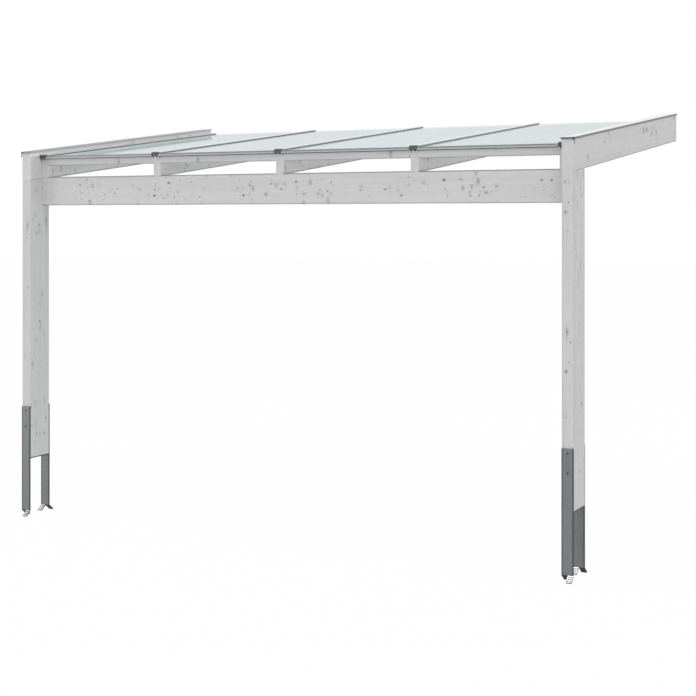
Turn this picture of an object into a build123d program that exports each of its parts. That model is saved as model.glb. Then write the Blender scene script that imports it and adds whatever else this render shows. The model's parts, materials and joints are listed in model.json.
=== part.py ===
"""Wall-attached patio cover: two posts in steel ground anchors carry a front beam and two side beams,
with rafters, multiwall roof panels and glazing bars falling from the house wall to the front.

Frame: +X runs along the wall, +Y points at the wall and +Z is up. The origin lies in the wall plane,
on the rear face of the wall plate, at mid-width and mid-height.
"""
import os
from math import cos, radians, sin, tan

from build123d import *

# Overall sizes, in millimetres and degrees
roof_width = 4500.0
roof_run = 2590.0
roof_pitch = 7.0
bay_count = 4

# Posts
post_width = 82.0
post_depth = 223.0
post_height = 2171.0

# Beams, rafters and cross pieces
side_beam_width = 82.0
side_beam_upstand = 36.0
front_beam_thickness = 85.0
front_beam_height = 215.0
rafter_width = 60.0
rafter_height = 141.0
rafter_notch = 4.0
wall_plate_thickness = 60.0
nogging_thickness = 40.0
nogging_height = 51.0
nogging_rise = 6.0
arris = 3.0

# Wall bolts through the wall plate
wall_bolt_hole_radius = 7.0

# Ground anchors: two flat plates joined by a seat under the post
anchor_width = 80.0
anchor_thickness = 8.0
anchor_above = 397.0
anchor_below = 411.0
anchor_hole_radius = 5.5
anchor_hole_inset = 30.0
anchor_hole_spacing = 128.0
tongue_slit = 3.0
tongue_angle = 52.0
tongue_bend_radius = 10.0
crimp_count = 3
crimp_radius = 6.7
crimp_swing = 40.0

# Roof panels: multiwall sheet with its chambers along the slope
panel_thickness = 16.0
panel_skin = 0.7
panel_rib = 0.6
panel_chamber_width = 32.0
panel_overhang = 26.0
panel_expansion_gap = 5.0

# Glazing bars
bar_width = 60.0
bar_web = 10.0
base_thickness = 3.0
gasket_height = 11.0
gasket_width = 6.0
cap_height = 11.0
cap_wall = 3.0
cap_lip = 5.0
cap_shoulder = 6.0
end_cap_front = 3.0
end_cap_wall = 1.5
end_cap_skirt = 20.0
end_cap_drop = 2.0
wall_trim = 40.0

# Edge profile on the front edge of each panel
edge_wall = 1.5
edge_leg = 24.0
edge_nose = 5.0
edge_nose_height = 9.0
edge_side_gap = 1.0

# Sheet capping on the side beams
capping_sheet = 1.5
capping_gap = 4.5
capping_lip = 12.0

# Lines that the pieces share
slope = tan(radians(roof_pitch))
plumb_stretch = 1.0 / cos(radians(roof_pitch))
front_y = -roof_run
post_back_y = front_y + post_depth
beam_front_y = post_back_y - front_beam_thickness
inner_half = roof_width / 2.0 - side_beam_width
bay_pitch = (2.0 * inner_half - rafter_width) / bay_count
seat_z_at_wall = (slope * wall_plate_thickness - rafter_height * plumb_stretch) / 2.0
nogging_top = rafter_height + nogging_rise
panel_seat = rafter_height + base_thickness + gasket_height
panel_top = panel_seat + panel_thickness
side_beam_height = panel_top + cap_height + side_beam_upstand
bar_front_run = (panel_overhang - beam_front_y - panel_seat * sin(radians(roof_pitch))) * plumb_stretch
cap_width = bar_width - 2.0 * end_cap_wall


def seat_z(y):
    """Height of the sloping plane on which rafters and side beams sit."""
    return seat_z_at_wall + slope * y


def plumb(depth):
    """Plumb height of a piece whose depth is measured square to the slope."""
    return depth * plumb_stretch


def rafter_x(index):
    """Middle of a rafter, counted from the left."""
    return -inner_half + rafter_width / 2.0 + index * bay_pitch


post_foot_z = seat_z(front_y) - post_height
slope_axis = Axis((0, 0, 0), (0, cos(radians(roof_pitch)), sin(radians(roof_pitch))))
down_slope = Vector(0, -cos(radians(roof_pitch)), -sin(radians(roof_pitch)))
roof_normal = Vector(0, -sin(radians(roof_pitch)), cos(radians(roof_pitch)))


def slope_section(x, lift):
    """Plane square to the slope at the wall, with its own Y square to the roof, facing the front."""
    foot = Vector(x, 0, seat_z_at_wall) + roof_normal * lift
    return Plane(origin=foot, x_dir=(1, 0, 0), z_dir=down_slope)


def run_down_slope():
    """Extrude a section from behind the wall plane to the front of the bars, and cut it plumb at the wall."""
    extrude(amount=bar_front_run + wall_trim)
    split(bisect_by=Plane.XZ)


os.makedirs("parts", exist_ok=True)


def save(piece, label):
    """Name a finished piece and write it as its own file."""
    piece.part.label = label
    export_step(piece.part, f"parts/{label}.step")


# Posts: upright, with their tops cut to the roof pitch
post_outline = [
    (front_y, post_foot_z),
    (post_back_y, post_foot_z),
    (post_back_y, seat_z(post_back_y)),
    (front_y, seat_z(front_y)),
]
post_x = {"left": -roof_width / 2.0 + post_width / 2.0, "right": roof_width / 2.0 - post_width / 2.0}
for side, x in post_x.items():
    with BuildPart() as post:
        with BuildSketch(Plane.YZ.offset(x)):
            with BuildLine():
                Polyline(*post_outline, close=True)
            make_face()
        extrude(amount=post_width / 2.0, both=True)
        chamfer(post.edges().filter_by(Axis.Z), arris)
    save(post, f"{side}_post")

# Ground anchors: the lower end of each plate is slit, and its halves are fanned apart and crimped
anchor_top_z = post_foot_z + anchor_above
anchor_bottom_z = post_foot_z - anchor_below
tongue_width = (anchor_width - tongue_slit) / 2.0


def draw_tongue(plate_y, outward):
    """Side view of one tongue: a bend out of the plate, then crimps along a fanned line."""
    turn = tongue_angle * outward
    with BuildLine() as centre_line:
        start = Line((plate_y, anchor_bottom_z + anchor_thickness), (plate_y, anchor_bottom_z))
        bend = JernArc(start @ 1, start % 1, tongue_bend_radius, turn)
        swing = crimp_swing
        last = JernArc(bend @ 1, bend % 1, crimp_radius, swing)
        for _ in range(2 * crimp_count - 1):
            swing = -swing
            last = JernArc(last @ 1, last % 1, crimp_radius, 2.0 * swing)
        JernArc(last @ 1, last % 1, crimp_radius, -swing)
        offset(amount=anchor_thickness / 2.0, side=Side.BOTH)
    return centre_line


for side, x in post_x.items():
    with BuildPart() as anchor:
        for plate_y in (front_y - anchor_thickness / 2.0, post_back_y + anchor_thickness / 2.0):
            with BuildSketch(Plane.YZ.offset(x)):
                with Locations((plate_y, (anchor_top_z + anchor_bottom_z) / 2.0)):
                    Rectangle(anchor_thickness, anchor_top_z - anchor_bottom_z)
            extrude(amount=anchor_width / 2.0, both=True)
        with BuildSketch(Plane.YZ.offset(x)):
            with Locations(((front_y + post_back_y) / 2.0, post_foot_z - anchor_thickness / 2.0)):
                Rectangle(post_depth, anchor_thickness)
        extrude(amount=anchor_width / 2.0, both=True)
        for plate_y, away in ((front_y - anchor_thickness / 2.0, -1), (post_back_y + anchor_thickness / 2.0, 1)):
            for half in (-1, 1):
                tongue_x = x + half * (anchor_width - tongue_width) / 2.0
                with BuildSketch(Plane.YZ.offset(tongue_x)):
                    make_face(draw_tongue(plate_y, half * away).edges())
                extrude(amount=tongue_width / 2.0, both=True)
        with Locations(Plane.XZ.offset(-post_back_y - 2.0 * anchor_thickness)):
            with Locations(
                (x, anchor_top_z - anchor_hole_inset),
                (x, anchor_top_z - anchor_hole_inset - anchor_hole_spacing),
            ):
                Hole(radius=anchor_hole_radius)
    save(anchor, f"{side}_anchor")

# Front beam: hung between the posts, flush with their backs, its top bevelled to the roof pitch
beam_under_z = seat_z(beam_front_y) - front_beam_height
front_beam_outline = [
    (beam_front_y, beam_under_z),
    (post_back_y, beam_under_z),
    (post_back_y, seat_z(post_back_y)),
    (beam_front_y, seat_z(beam_front_y)),
]
with BuildPart() as front_beam:
    with BuildSketch(Plane.YZ):
        with BuildLine():
            Polyline(*front_beam_outline, close=True)
        make_face()
    extrude(amount=roof_width / 2.0 - post_width, both=True)
    chamfer(front_beam.edges().filter_by(Axis.X), arris)
save(front_beam, "front_beam")

# Side beams: on the post heads, plumb cut at the front and at the wall
side_beam_outline = [
    (front_y, seat_z(front_y)),
    (0, seat_z(0)),
    (0, seat_z(0) + plumb(side_beam_height)),
    (front_y, seat_z(front_y) + plumb(side_beam_height)),
]
side_beam_x = {"left": -inner_half - side_beam_width / 2.0, "right": inner_half + side_beam_width / 2.0}
for side, x in side_beam_x.items():
    with BuildPart() as side_beam:
        with BuildSketch(Plane.YZ.offset(x)):
            with BuildLine():
                Polyline(*side_beam_outline, close=True)
            make_face()
        extrude(amount=side_beam_width / 2.0, both=True)
        chamfer(side_beam.edges().filter_by(slope_axis), arris)
    save(side_beam, f"{side}_side_beam")

# Cappings: folded sheet over the side beams, with a lip down both sides and the front
capping_front_y = front_y - capping_gap - capping_sheet


def beam_top_z(y):
    """Top of a side beam."""
    return seat_z(y) + plumb(side_beam_height)


capping_outline = [
    (capping_front_y, beam_top_z(capping_front_y) - plumb(capping_lip)),
    (0, beam_top_z(0) - plumb(capping_lip)),
    (0, beam_top_z(0) + plumb(capping_sheet)),
    (capping_front_y, beam_top_z(capping_front_y) + plumb(capping_sheet)),
]
capping_hollow = [
    (capping_front_y + capping_sheet, beam_top_z(capping_front_y + capping_sheet) - 2.0 * capping_lip),
    (capping_lip, beam_top_z(capping_lip) - 2.0 * capping_lip),
    (capping_lip, beam_top_z(capping_lip)),
    (capping_front_y + capping_sheet, beam_top_z(capping_front_y + capping_sheet)),
]
for side, x in side_beam_x.items():
    with BuildPart() as capping:
        with BuildSketch(Plane.YZ.offset(x)):
            with BuildLine():
                Polyline(*capping_outline, close=True)
            make_face()
        extrude(amount=side_beam_width / 2.0 + capping_gap + capping_sheet, both=True)
        with BuildSketch(Plane.YZ.offset(x)):
            with BuildLine():
                Polyline(*capping_hollow, close=True)
            make_face()
        extrude(amount=side_beam_width / 2.0 + capping_gap, both=True, mode=Mode.SUBTRACT)
    save(capping, f"{side}_side_capping")

# Wall plate: between the side beams, with a level underside and its top bevelled to the roof pitch
wall_plate_under_z = seat_z(-wall_plate_thickness)
wall_plate_outline = [
    (-wall_plate_thickness, wall_plate_under_z),
    (0, wall_plate_under_z),
    (0, seat_z(0) + plumb(rafter_height)),
    (-wall_plate_thickness, seat_z(-wall_plate_thickness) + plumb(rafter_height)),
]
with BuildPart() as wall_plate:
    with BuildSketch(Plane.YZ):
        with BuildLine():
            Polyline(*wall_plate_outline, close=True)
        make_face()
    extrude(amount=inner_half, both=True)
    with Locations(Plane.XZ):
        with GridLocations(bay_pitch, 1, bay_count, 1):
            Hole(radius=wall_bolt_hole_radius)
save(wall_plate, "wall_plate")

# Rafters: notched over the front beam, flush with its face, and against the wall plate
rafter_outline = [
    (beam_front_y, seat_z(beam_front_y)),
    (post_back_y, seat_z(post_back_y)),
    (post_back_y, seat_z(post_back_y) - plumb(rafter_notch)),
    (-wall_plate_thickness, seat_z(-wall_plate_thickness) - plumb(rafter_notch)),
    (-wall_plate_thickness, seat_z(-wall_plate_thickness) + plumb(rafter_height)),
    (beam_front_y, seat_z(beam_front_y) + plumb(rafter_height)),
]
for index in range(bay_count + 1):
    with BuildPart() as rafter:
        with BuildSketch(Plane.YZ.offset(rafter_x(index))):
            with BuildLine():
                Polyline(*rafter_outline, close=True)
            make_face()
        extrude(amount=rafter_width / 2.0, both=True)
        chamfer(rafter.edges().filter_by(slope_axis), arris)
    save(rafter, f"rafter_{index + 1}")

# Eaves noggings: between the rafter fronts, a little higher than the rafters
nogging_back_y = beam_front_y + nogging_thickness
nogging_under_z = seat_z(beam_front_y) + plumb(nogging_top) - nogging_height
nogging_outline = [
    (beam_front_y, nogging_under_z),
    (nogging_back_y, nogging_under_z),
    (nogging_back_y, seat_z(nogging_back_y) + plumb(nogging_top)),
    (beam_front_y, seat_z(beam_front_y) + plumb(nogging_top)),
]
for index in range(bay_count):
    with BuildPart() as nogging:
        with BuildSketch(Plane.YZ.offset(rafter_x(index) + bay_pitch / 2.0)):
            with BuildLine():
                Polyline(*nogging_outline, close=True)
            make_face()
        extrude(amount=(bay_pitch - rafter_width) / 2.0, both=True)
    save(nogging, f"eaves_nogging_{index + 1}")

# Glazing bar bases: a flat foot with two gasket ridges and a web as high as the panel
for index in range(bay_count + 1):
    with BuildPart() as bar_base:
        with BuildSketch(slope_section(rafter_x(index), rafter_height).offset(-wall_trim)):
            with Locations((0, base_thickness / 2.0)):
                Rectangle(bar_width, base_thickness)
            with Locations((0, base_thickness + gasket_height / 2.0)):
                with GridLocations(bar_width - gasket_width, 1, 2, 1):
                    Rectangle(gasket_width, gasket_height)
            with Locations((0, base_thickness + (gasket_height + panel_thickness) / 2.0)):
                Rectangle(bar_web, gasket_height + panel_thickness)
        run_down_slope()
    save(bar_base, f"glazing_bar_base_{index + 1}")

# Roof panels: hollow sheet between the webs of two glazing bars, with its ribs along the slope
panel_width = bay_pitch - bar_web - 2.0 * panel_expansion_gap
chamber_count = round(panel_width / panel_chamber_width)
chamber_pitch = (panel_width - panel_rib) / chamber_count
chamber_height = (panel_thickness - 3.0 * panel_skin) / 2.0
for index in range(bay_count):
    with BuildPart() as panel:
        with BuildSketch(slope_section(rafter_x(index) + bay_pitch / 2.0, panel_seat).offset(-wall_trim)):
            with Locations((0, panel_thickness / 2.0)):
                Rectangle(panel_width, panel_thickness)
                with GridLocations(chamber_pitch, chamber_height + panel_skin, chamber_count, 2):
                    Rectangle(chamber_pitch - panel_rib, chamber_height, mode=Mode.SUBTRACT)
        run_down_slope()
    save(panel, f"roof_panel_{index + 1}")

# Edge fillers: a strip as thick as the panel beside the outer webs, where no panel lies
filler_width = (bar_width - bar_web) / 2.0 - panel_expansion_gap
for side, index, way in (("left", 0, -1), ("right", bay_count, 1)):
    filler_x = rafter_x(index) + way * (bar_width - filler_width) / 2.0
    with BuildPart() as filler:
        with BuildSketch(slope_section(filler_x, panel_seat).offset(-wall_trim)):
            with Locations((0, panel_thickness / 2.0)):
                Rectangle(filler_width, panel_thickness)
        run_down_slope()
    save(filler, f"{side}_edge_filler")

# Glazing bar caps: a shallow hollow cover with sloped shoulders, on the panels and the web
cap_hollow_width = (cap_width - bar_web) / 2.0 - cap_lip
cap_hollow_pitch = bar_web + cap_hollow_width


def cap_outline(width, foot, top):
    """Front view of a cover over the bar: upright sides and sloped shoulders, measured from the panel's top."""
    return [
        (-width / 2.0, foot),
        (-width / 2.0, top - cap_shoulder),
        (-width / 2.0 + cap_shoulder, top),
        (width / 2.0 - cap_shoulder, top),
        (width / 2.0, top - cap_shoulder),
        (width / 2.0, foot),
    ]


for index in range(bay_count + 1):
    with BuildPart() as bar_cap:
        with BuildSketch(slope_section(rafter_x(index), panel_top).offset(-wall_trim)):
            with BuildLine():
                Polyline(*cap_outline(cap_width, 0, cap_height), close=True)
            make_face()
            with Locations((0, (cap_height - cap_wall) / 2.0)):
                with GridLocations(cap_hollow_pitch, 1, 2, 1):
                    Rectangle(cap_hollow_width, cap_height - cap_wall, mode=Mode.SUBTRACT)
        run_down_slope()
    save(bar_cap, f"glazing_bar_cap_{index + 1}")

# End caps: a front plate over bar and panel corners, with a skirt that wraps the front of the bar cap
end_cap_top = cap_height + end_cap_wall
for index in range(bay_count + 1):
    end_plane = slope_section(rafter_x(index), panel_top).offset(bar_front_run)
    with BuildPart() as end_cap:
        with BuildSketch(end_plane):
            with BuildLine():
                Polyline(*cap_outline(bar_width, -panel_thickness - end_cap_drop, end_cap_top), close=True)
            make_face()
        extrude(amount=end_cap_front)
        with BuildSketch(end_plane):
            with BuildLine():
                Polyline(*cap_outline(bar_width, 0, end_cap_top), close=True)
            make_face()
            with BuildLine():
                Polyline(*cap_outline(cap_width, 0, cap_height), close=True)
            make_face(mode=Mode.SUBTRACT)
        extrude(amount=-end_cap_skirt)
    save(end_cap, f"bar_end_cap_{index + 1}")

# Panel edge profiles: a channel round the front edge of each panel, with a drip nose along its foot
edge_length = bay_pitch - bar_width - 2.0 * edge_side_gap
edge_nose_top = edge_nose_height - edge_wall
edge_outline = [
    (-edge_leg, -edge_wall),
    (edge_wall + edge_nose, -edge_wall),
    (edge_wall + edge_nose, edge_nose_top),
    (edge_wall, edge_nose_top + edge_nose / 2.0),
    (edge_wall, panel_thickness + edge_wall),
    (-edge_leg, panel_thickness + edge_wall),
    (-edge_leg, panel_thickness),
    (0, panel_thickness),
    (0, 0),
    (-edge_leg, 0),
]
for index in range(bay_count):
    edge_x = rafter_x(index) + bay_pitch / 2.0
    front_corner = slope_section(edge_x, panel_seat).offset(bar_front_run)
    with BuildPart() as edge_profile:
        with BuildSketch(Plane(origin=front_corner.origin, x_dir=down_slope, z_dir=(-1, 0, 0))):
            with BuildLine():
                Polyline(*edge_outline, close=True)
            make_face()
        extrude(amount=edge_length / 2.0, both=True)
    save(edge_profile, f"panel_edge_profile_{index + 1}")
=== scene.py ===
"""Looks of a wall-attached patio cover: stained timber, steel ground anchors and a multiwall roof."""

import json
import math

import bmesh
import bpy
from mathutils import Matrix, Vector


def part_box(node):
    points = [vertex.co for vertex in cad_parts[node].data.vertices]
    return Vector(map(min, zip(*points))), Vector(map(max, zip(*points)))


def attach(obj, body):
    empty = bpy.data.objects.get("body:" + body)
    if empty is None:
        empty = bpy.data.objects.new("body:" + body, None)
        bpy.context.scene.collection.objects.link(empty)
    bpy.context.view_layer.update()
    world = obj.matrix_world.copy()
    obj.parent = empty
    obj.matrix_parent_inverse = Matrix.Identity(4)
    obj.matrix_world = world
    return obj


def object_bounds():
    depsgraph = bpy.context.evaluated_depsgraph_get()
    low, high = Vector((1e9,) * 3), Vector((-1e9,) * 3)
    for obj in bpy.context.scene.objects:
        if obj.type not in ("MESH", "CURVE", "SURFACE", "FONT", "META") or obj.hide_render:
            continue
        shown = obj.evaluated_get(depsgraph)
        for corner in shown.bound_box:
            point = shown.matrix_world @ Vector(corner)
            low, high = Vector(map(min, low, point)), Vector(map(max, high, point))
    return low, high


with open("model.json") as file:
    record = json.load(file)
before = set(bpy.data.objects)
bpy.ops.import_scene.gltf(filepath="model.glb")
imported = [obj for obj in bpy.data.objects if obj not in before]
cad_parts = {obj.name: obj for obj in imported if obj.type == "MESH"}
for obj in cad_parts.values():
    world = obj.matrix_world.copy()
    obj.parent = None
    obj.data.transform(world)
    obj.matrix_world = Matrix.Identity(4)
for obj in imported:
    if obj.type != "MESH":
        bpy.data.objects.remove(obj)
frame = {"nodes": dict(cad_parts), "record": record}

bl_info = {
    "name": "Attached patio cover looks",
    "version": (1, 0, 0),
    "blender": (4, 5, 0),
    "location": "3D View > Sidebar > Patio cover",
    "description": "Finishes, fixings and stage for an attached patio cover",
    "category": "Object",
}

NODES = frame["nodes"]
CAD_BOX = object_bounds()
ROOF_PITCH = math.radians(7.0)
SIDES = ("left", "right")
BAR_COUNT = sum(name.startswith("glazing_bar_cap_") for name in NODES)
BAY_COUNT = BAR_COUNT - 1


# Where things are

def low(node):
    """Lowest corner of a CAD node."""
    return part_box(node)[0]


def high(node):
    """Highest corner of a CAD node."""
    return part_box(node)[1]


def middle(node):
    """Middle of a CAD node's box."""
    return (low(node) + high(node)) / 2.0


def square_to_roof(y, z):
    """Distance of a point from the roof plane through the origin."""
    return z * math.cos(ROOF_PITCH) - y * math.sin(ROOF_PITCH)


# Sizes and colours

def length(name, description, default, least=0.0, most=10.0):
    """A length in metres that a user may change."""
    return bpy.props.FloatProperty(
        name=name, description=description, default=default, min=least, max=most, precision=4,
        subtype="DISTANCE", unit="LENGTH",
    )


def share(name, description, default):
    """A share from 0 to 1 that a user may change."""
    return bpy.props.FloatProperty(
        name=name, description=description, default=default, min=0.0, max=1.0, subtype="FACTOR",
    )


def colour(name, description, default):
    """A colour that a user may change."""
    return bpy.props.FloatVectorProperty(
        name=name, description=description, default=default, min=0.0, max=1.0, size=3, subtype="COLOR",
    )


def factor(name, description, default, most):
    """A plain number that a user may change."""
    return bpy.props.FloatProperty(name=name, description=description, default=default, min=0.0, max=most)


def power(name, description, default):
    """The power of a lamp in watts."""
    return bpy.props.FloatProperty(
        name=name, description=description, default=default, min=0.0, unit="POWER",
    )


class TimberSettings(bpy.types.PropertyGroup):
    """Stain, grain and knots of the timber, and the painted light and shade on it."""

    stain: colour("Stain", "Colour of the stained wood", (0.58, 0.58, 0.58))
    knot: colour("Knots", "Colour of a knot under the stain", (0.12, 0.12, 0.118))
    streaks: share("Streaks", "How strongly the grain shows through the stain", 0.8)
    lamella: length("Lamella", "Thickness of one board of the glued beams", 0.043, 0.01, 0.1)
    knot_spacing: length("Knot spacing", "Rough distance between small knots", 0.046, 0.02, 1.0)
    knot_radius: length("Knot radius", "Radius of the largest small knots", 0.0100, 0.001, 0.05)
    smear_spacing: length("Smear spacing", "Rough distance between long knots", 0.052, 0.02, 1.0)
    smear_radius: length("Smear radius", "Half the width of the largest long knots", 0.012, 0.001, 0.05)
    gathering: factor("Gathering", "How strongly the knots are gathered in whorls", 9.0, 20.0)
    # Painted shade along the eased edges.
    arris: length("Arris", "Width of the darker line along the eased edges", 0.009, 0.001, 0.03)
    # Painted light: the rafters' sides are lighter and warmer than their ends.
    rafter_side_light_tint: colour("Rafter sides", "Colour of the stained rafters' sides", (0.60, 0.582, 0.568))
    rafter_side_light: factor("Rafter side tone", "Tone of a rafter's sides beside that of its end", 1.33, 2.0)
    side_beam_smears: factor("Side beam smears", "Long knots of the side beams beside others", 2.2, 5.0)
    # Painted highlight on the posts' bevelled edges.
    bevel_highlight: share("Worn edge", "How much lighter the bevelled edges of the posts are", 0.12)
    # Share of the painted edge shade taken off where a side beam sits on its post.
    post_shade_fade: share("Seated", "How much fainter a side beam's lower edge line is on its post", 0.85)
    # Painted light on the inside of the side beams above the bars.
    inner_painted_light: share("Bleached", "How much lighter the side beams are on the inside above the bars", 0.42)


class MetalSettings(bpy.types.PropertyGroup):
    """Colours of the anchors, cappings, bars and screws, with their painted light and shade, and how far
    the anchors' marks reach.
    """

    anchor: colour("Anchors", "Colour of the anchor steel", (0.189, 0.201, 0.203))
    # Painted highlight on the crimped ends' upper faces, and painted shade on their undersides.
    end_painted_highlight: colour("Crimped ends", "Colour of the crimped ends' bright upper side", (0.90, 0.90, 0.90))
    end_painted_shade: colour("Undersides", "Colour of the crimped ends' tarnished underside", (0.012, 0.012, 0.012))
    capping: colour("Capping", "Colour of the sheet on the side beams", (0.26, 0.265, 0.265))
    # Painted shade on the right capping's lips, and painted light on the left capping's lips.
    lip_painted_shade: colour("Dark lip", "Colour of the side lips on the right side beam", (0.045, 0.047, 0.047))
    lip_painted_light: colour("Worn lip", "Colour of the side lips on the left side beam", (0.46, 0.46, 0.455))
    # Painted light on the bar caps' tops, and painted shade on their upright sides.
    bar: colour("Glazing bars", "Colour of the top of the bar caps", (0.49, 0.515, 0.52))
    bar_side_shade: colour("Glazing bar sides", "Colour of the bar caps' upright sides", (0.056, 0.064, 0.068))
    base: colour("Bar bases", "Colour of the bars under the sheets", (0.50, 0.52, 0.52))
    edge: colour("Edge profiles", "Colour of the nose of the panels' edge profiles", (0.42, 0.44, 0.45))
    # Painted shade in the edge profiles' recess above the nose.
    recess: colour("Edge recess", "Colour of the edge profiles above the nose", (0.22, 0.23, 0.235))
    screw: colour("Screws", "Colour of the screws and washers", (0.30, 0.30, 0.295))
    dark_screw: colour("Anchor screws", "Colour of the screws in the anchor plates", (0.05, 0.05, 0.05))
    plate_below: length("Anchor plates", "How far the flat plates go below the post", 0.411, 0.0, 2.0)
    # Painted shade along the anchor plate edges.
    edge_line: length("Edge line", "Width of the darker line along the plate edges", 0.013, 0.001, 0.03)


class RoofSettings(bpy.types.PropertyGroup):
    """Colours of the roof panels, the plastic parts and the seals, and the sizes of the seals."""

    sheet: colour("Sheet", "Colour of the milky sheet", (0.585, 0.72, 0.75))
    cover: share("Cover", "How much of the view an outer face of the sheet hides", 0.82)
    rib_cover: share("Rib cover", "How much of the view each face inside the sheet hides", 0.25)
    gloss: share("Gloss", "How much of the sheet's clear gloss the dust leaves", 0.80)
    filler: colour("Fillers", "Colour of the strips beside the outer webs", (0.58, 0.60, 0.60))
    end_cap: colour("End caps", "Colour of the caps on the bar ends", (0.075, 0.078, 0.08))
    # Painted shade: the tabs' near-black colour stands in for the shade at the cappings' front corners.
    clip: colour("Tabs", "Colour of the tabs on the capping corners", (0.030, 0.031, 0.032))
    # The near-black seal colour also serves the tape as painted shade in the gap under the sheets.
    seal: colour("Seals", "Colour of the rubber lips and tapes", (0.03, 0.03, 0.03))
    tape_height: length("Tape height", "Height of the foam tape on the noggings", 0.0080, 0.001, 0.02)
    tape_depth: length("Tape depth", "Depth of the foam tape on the noggings", 0.012, 0.002, 0.04)
    seal_height: length("Seal height", "Height of a lip on the sheet", 0.002, 0.0005, 0.005)
    seal_reach: length("Seal reach", "How far a lip stands out from the cap", 0.0015, 0.0005, 0.01)


class FixingSettings(bpy.types.PropertyGroup):
    """Sizes of the screws, nuts and tabs that show."""

    anchor_head: length("Anchor screw head", "Width of the hexagon over its corners", 0.0085, 0.005, 0.05)
    anchor_washer: length("Washer", "Diameter of the washers on the anchor plates", 0.0122, 0.01, 0.06)
    clip_front: length("Tab front", "Width of the front leg of a tab on a capping", 0.012, 0.002, 0.03)
    clip_side: length("Tab side", "Width of the side leg of a tab on a capping", 0.0065, 0.002, 0.03)
    clip_short: length("Tab front height", "Height of a tab's front leg", 0.016, 0.005, 0.1)
    clip_long: length("Tab side height", "Height of a tab to the foot of its side leg", 0.044, 0.005, 0.1)
    clip_thickness: length("Tab thickness", "Thickness of a tab on a capping", 0.0012, 0.0005, 0.005)
    wall_nut: length("Wall nut", "Width of a nut on the wall plate over its corners", 0.0215, 0.005, 0.06)
    wall_washer: length("Wall washer", "Diameter of the washers on the wall plate", 0.040, 0.01, 0.09)


class StageSettings(bpy.types.PropertyGroup):
    """Camera, light and floor."""

    eye: bpy.props.FloatVectorProperty(
        name="Eye", description="Place of the camera", default=(5.1105, -11.2799, -0.678),
        size=3, subtype="TRANSLATION", unit="LENGTH",
    )
    turn: bpy.props.FloatProperty(
        name="Turn", description="How far the camera turns to the left", default=math.radians(27.30),
        subtype="ANGLE", unit="ROTATION",
    )
    lens: bpy.props.FloatProperty(
        name="Lens", description="Focal length in millimetres", default=73.14, min=10.0, max=500.0,
    )
    rise: bpy.props.FloatProperty(
        name="Rise", description="Upward shift of the picture frame", default=-0.1879, min=-1.0, max=1.0,
    )
    daylight: bpy.props.FloatProperty(
        name="Daylight", description="Even light from all round", default=0.80, min=0.0, max=5.0,
    )
    overhead: power("Overhead lamp", "Power of the lamp above", 130.0)
    front: power("Front lamp", "Power of the large lamp at the front right", 290.0)
    left: power("Left lamp", "Power of the low lamp at the front left", 100.0)
    back: power("Back lamp", "Power of the large lamp at the back right", 70.0)
    floor: colour("Floor", "Colour of the floor", (0.90, 0.90, 0.90))
    floor_glow: share("Floor glow", "How much of the floor that is seen is plain white", 0.97)


GROUPS = {
    "patio_timber": TimberSettings,
    "patio_metal": MetalSettings,
    "patio_roof": RoofSettings,
    "patio_fixings": FixingSettings,
    "patio_stage": StageSettings,
}


# Shader nodes

class Signal:
    """A number that varies over a surface. Arithmetic on it adds Math nodes."""

    def __init__(self, finish, socket):
        self.finish = finish
        self.socket = socket

    def __add__(self, other):
        return self.finish.maths("ADD", self, other)

    def __sub__(self, other):
        return self.finish.maths("SUBTRACT", self, other)

    def __rsub__(self, other):
        return self.finish.maths("SUBTRACT", other, self)

    def __mul__(self, other):
        return self.finish.maths("MULTIPLY", self, other)

    def __truediv__(self, other):
        return self.finish.maths("DIVIDE", self, other)

    __radd__ = __add__
    __rmul__ = __mul__


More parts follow.
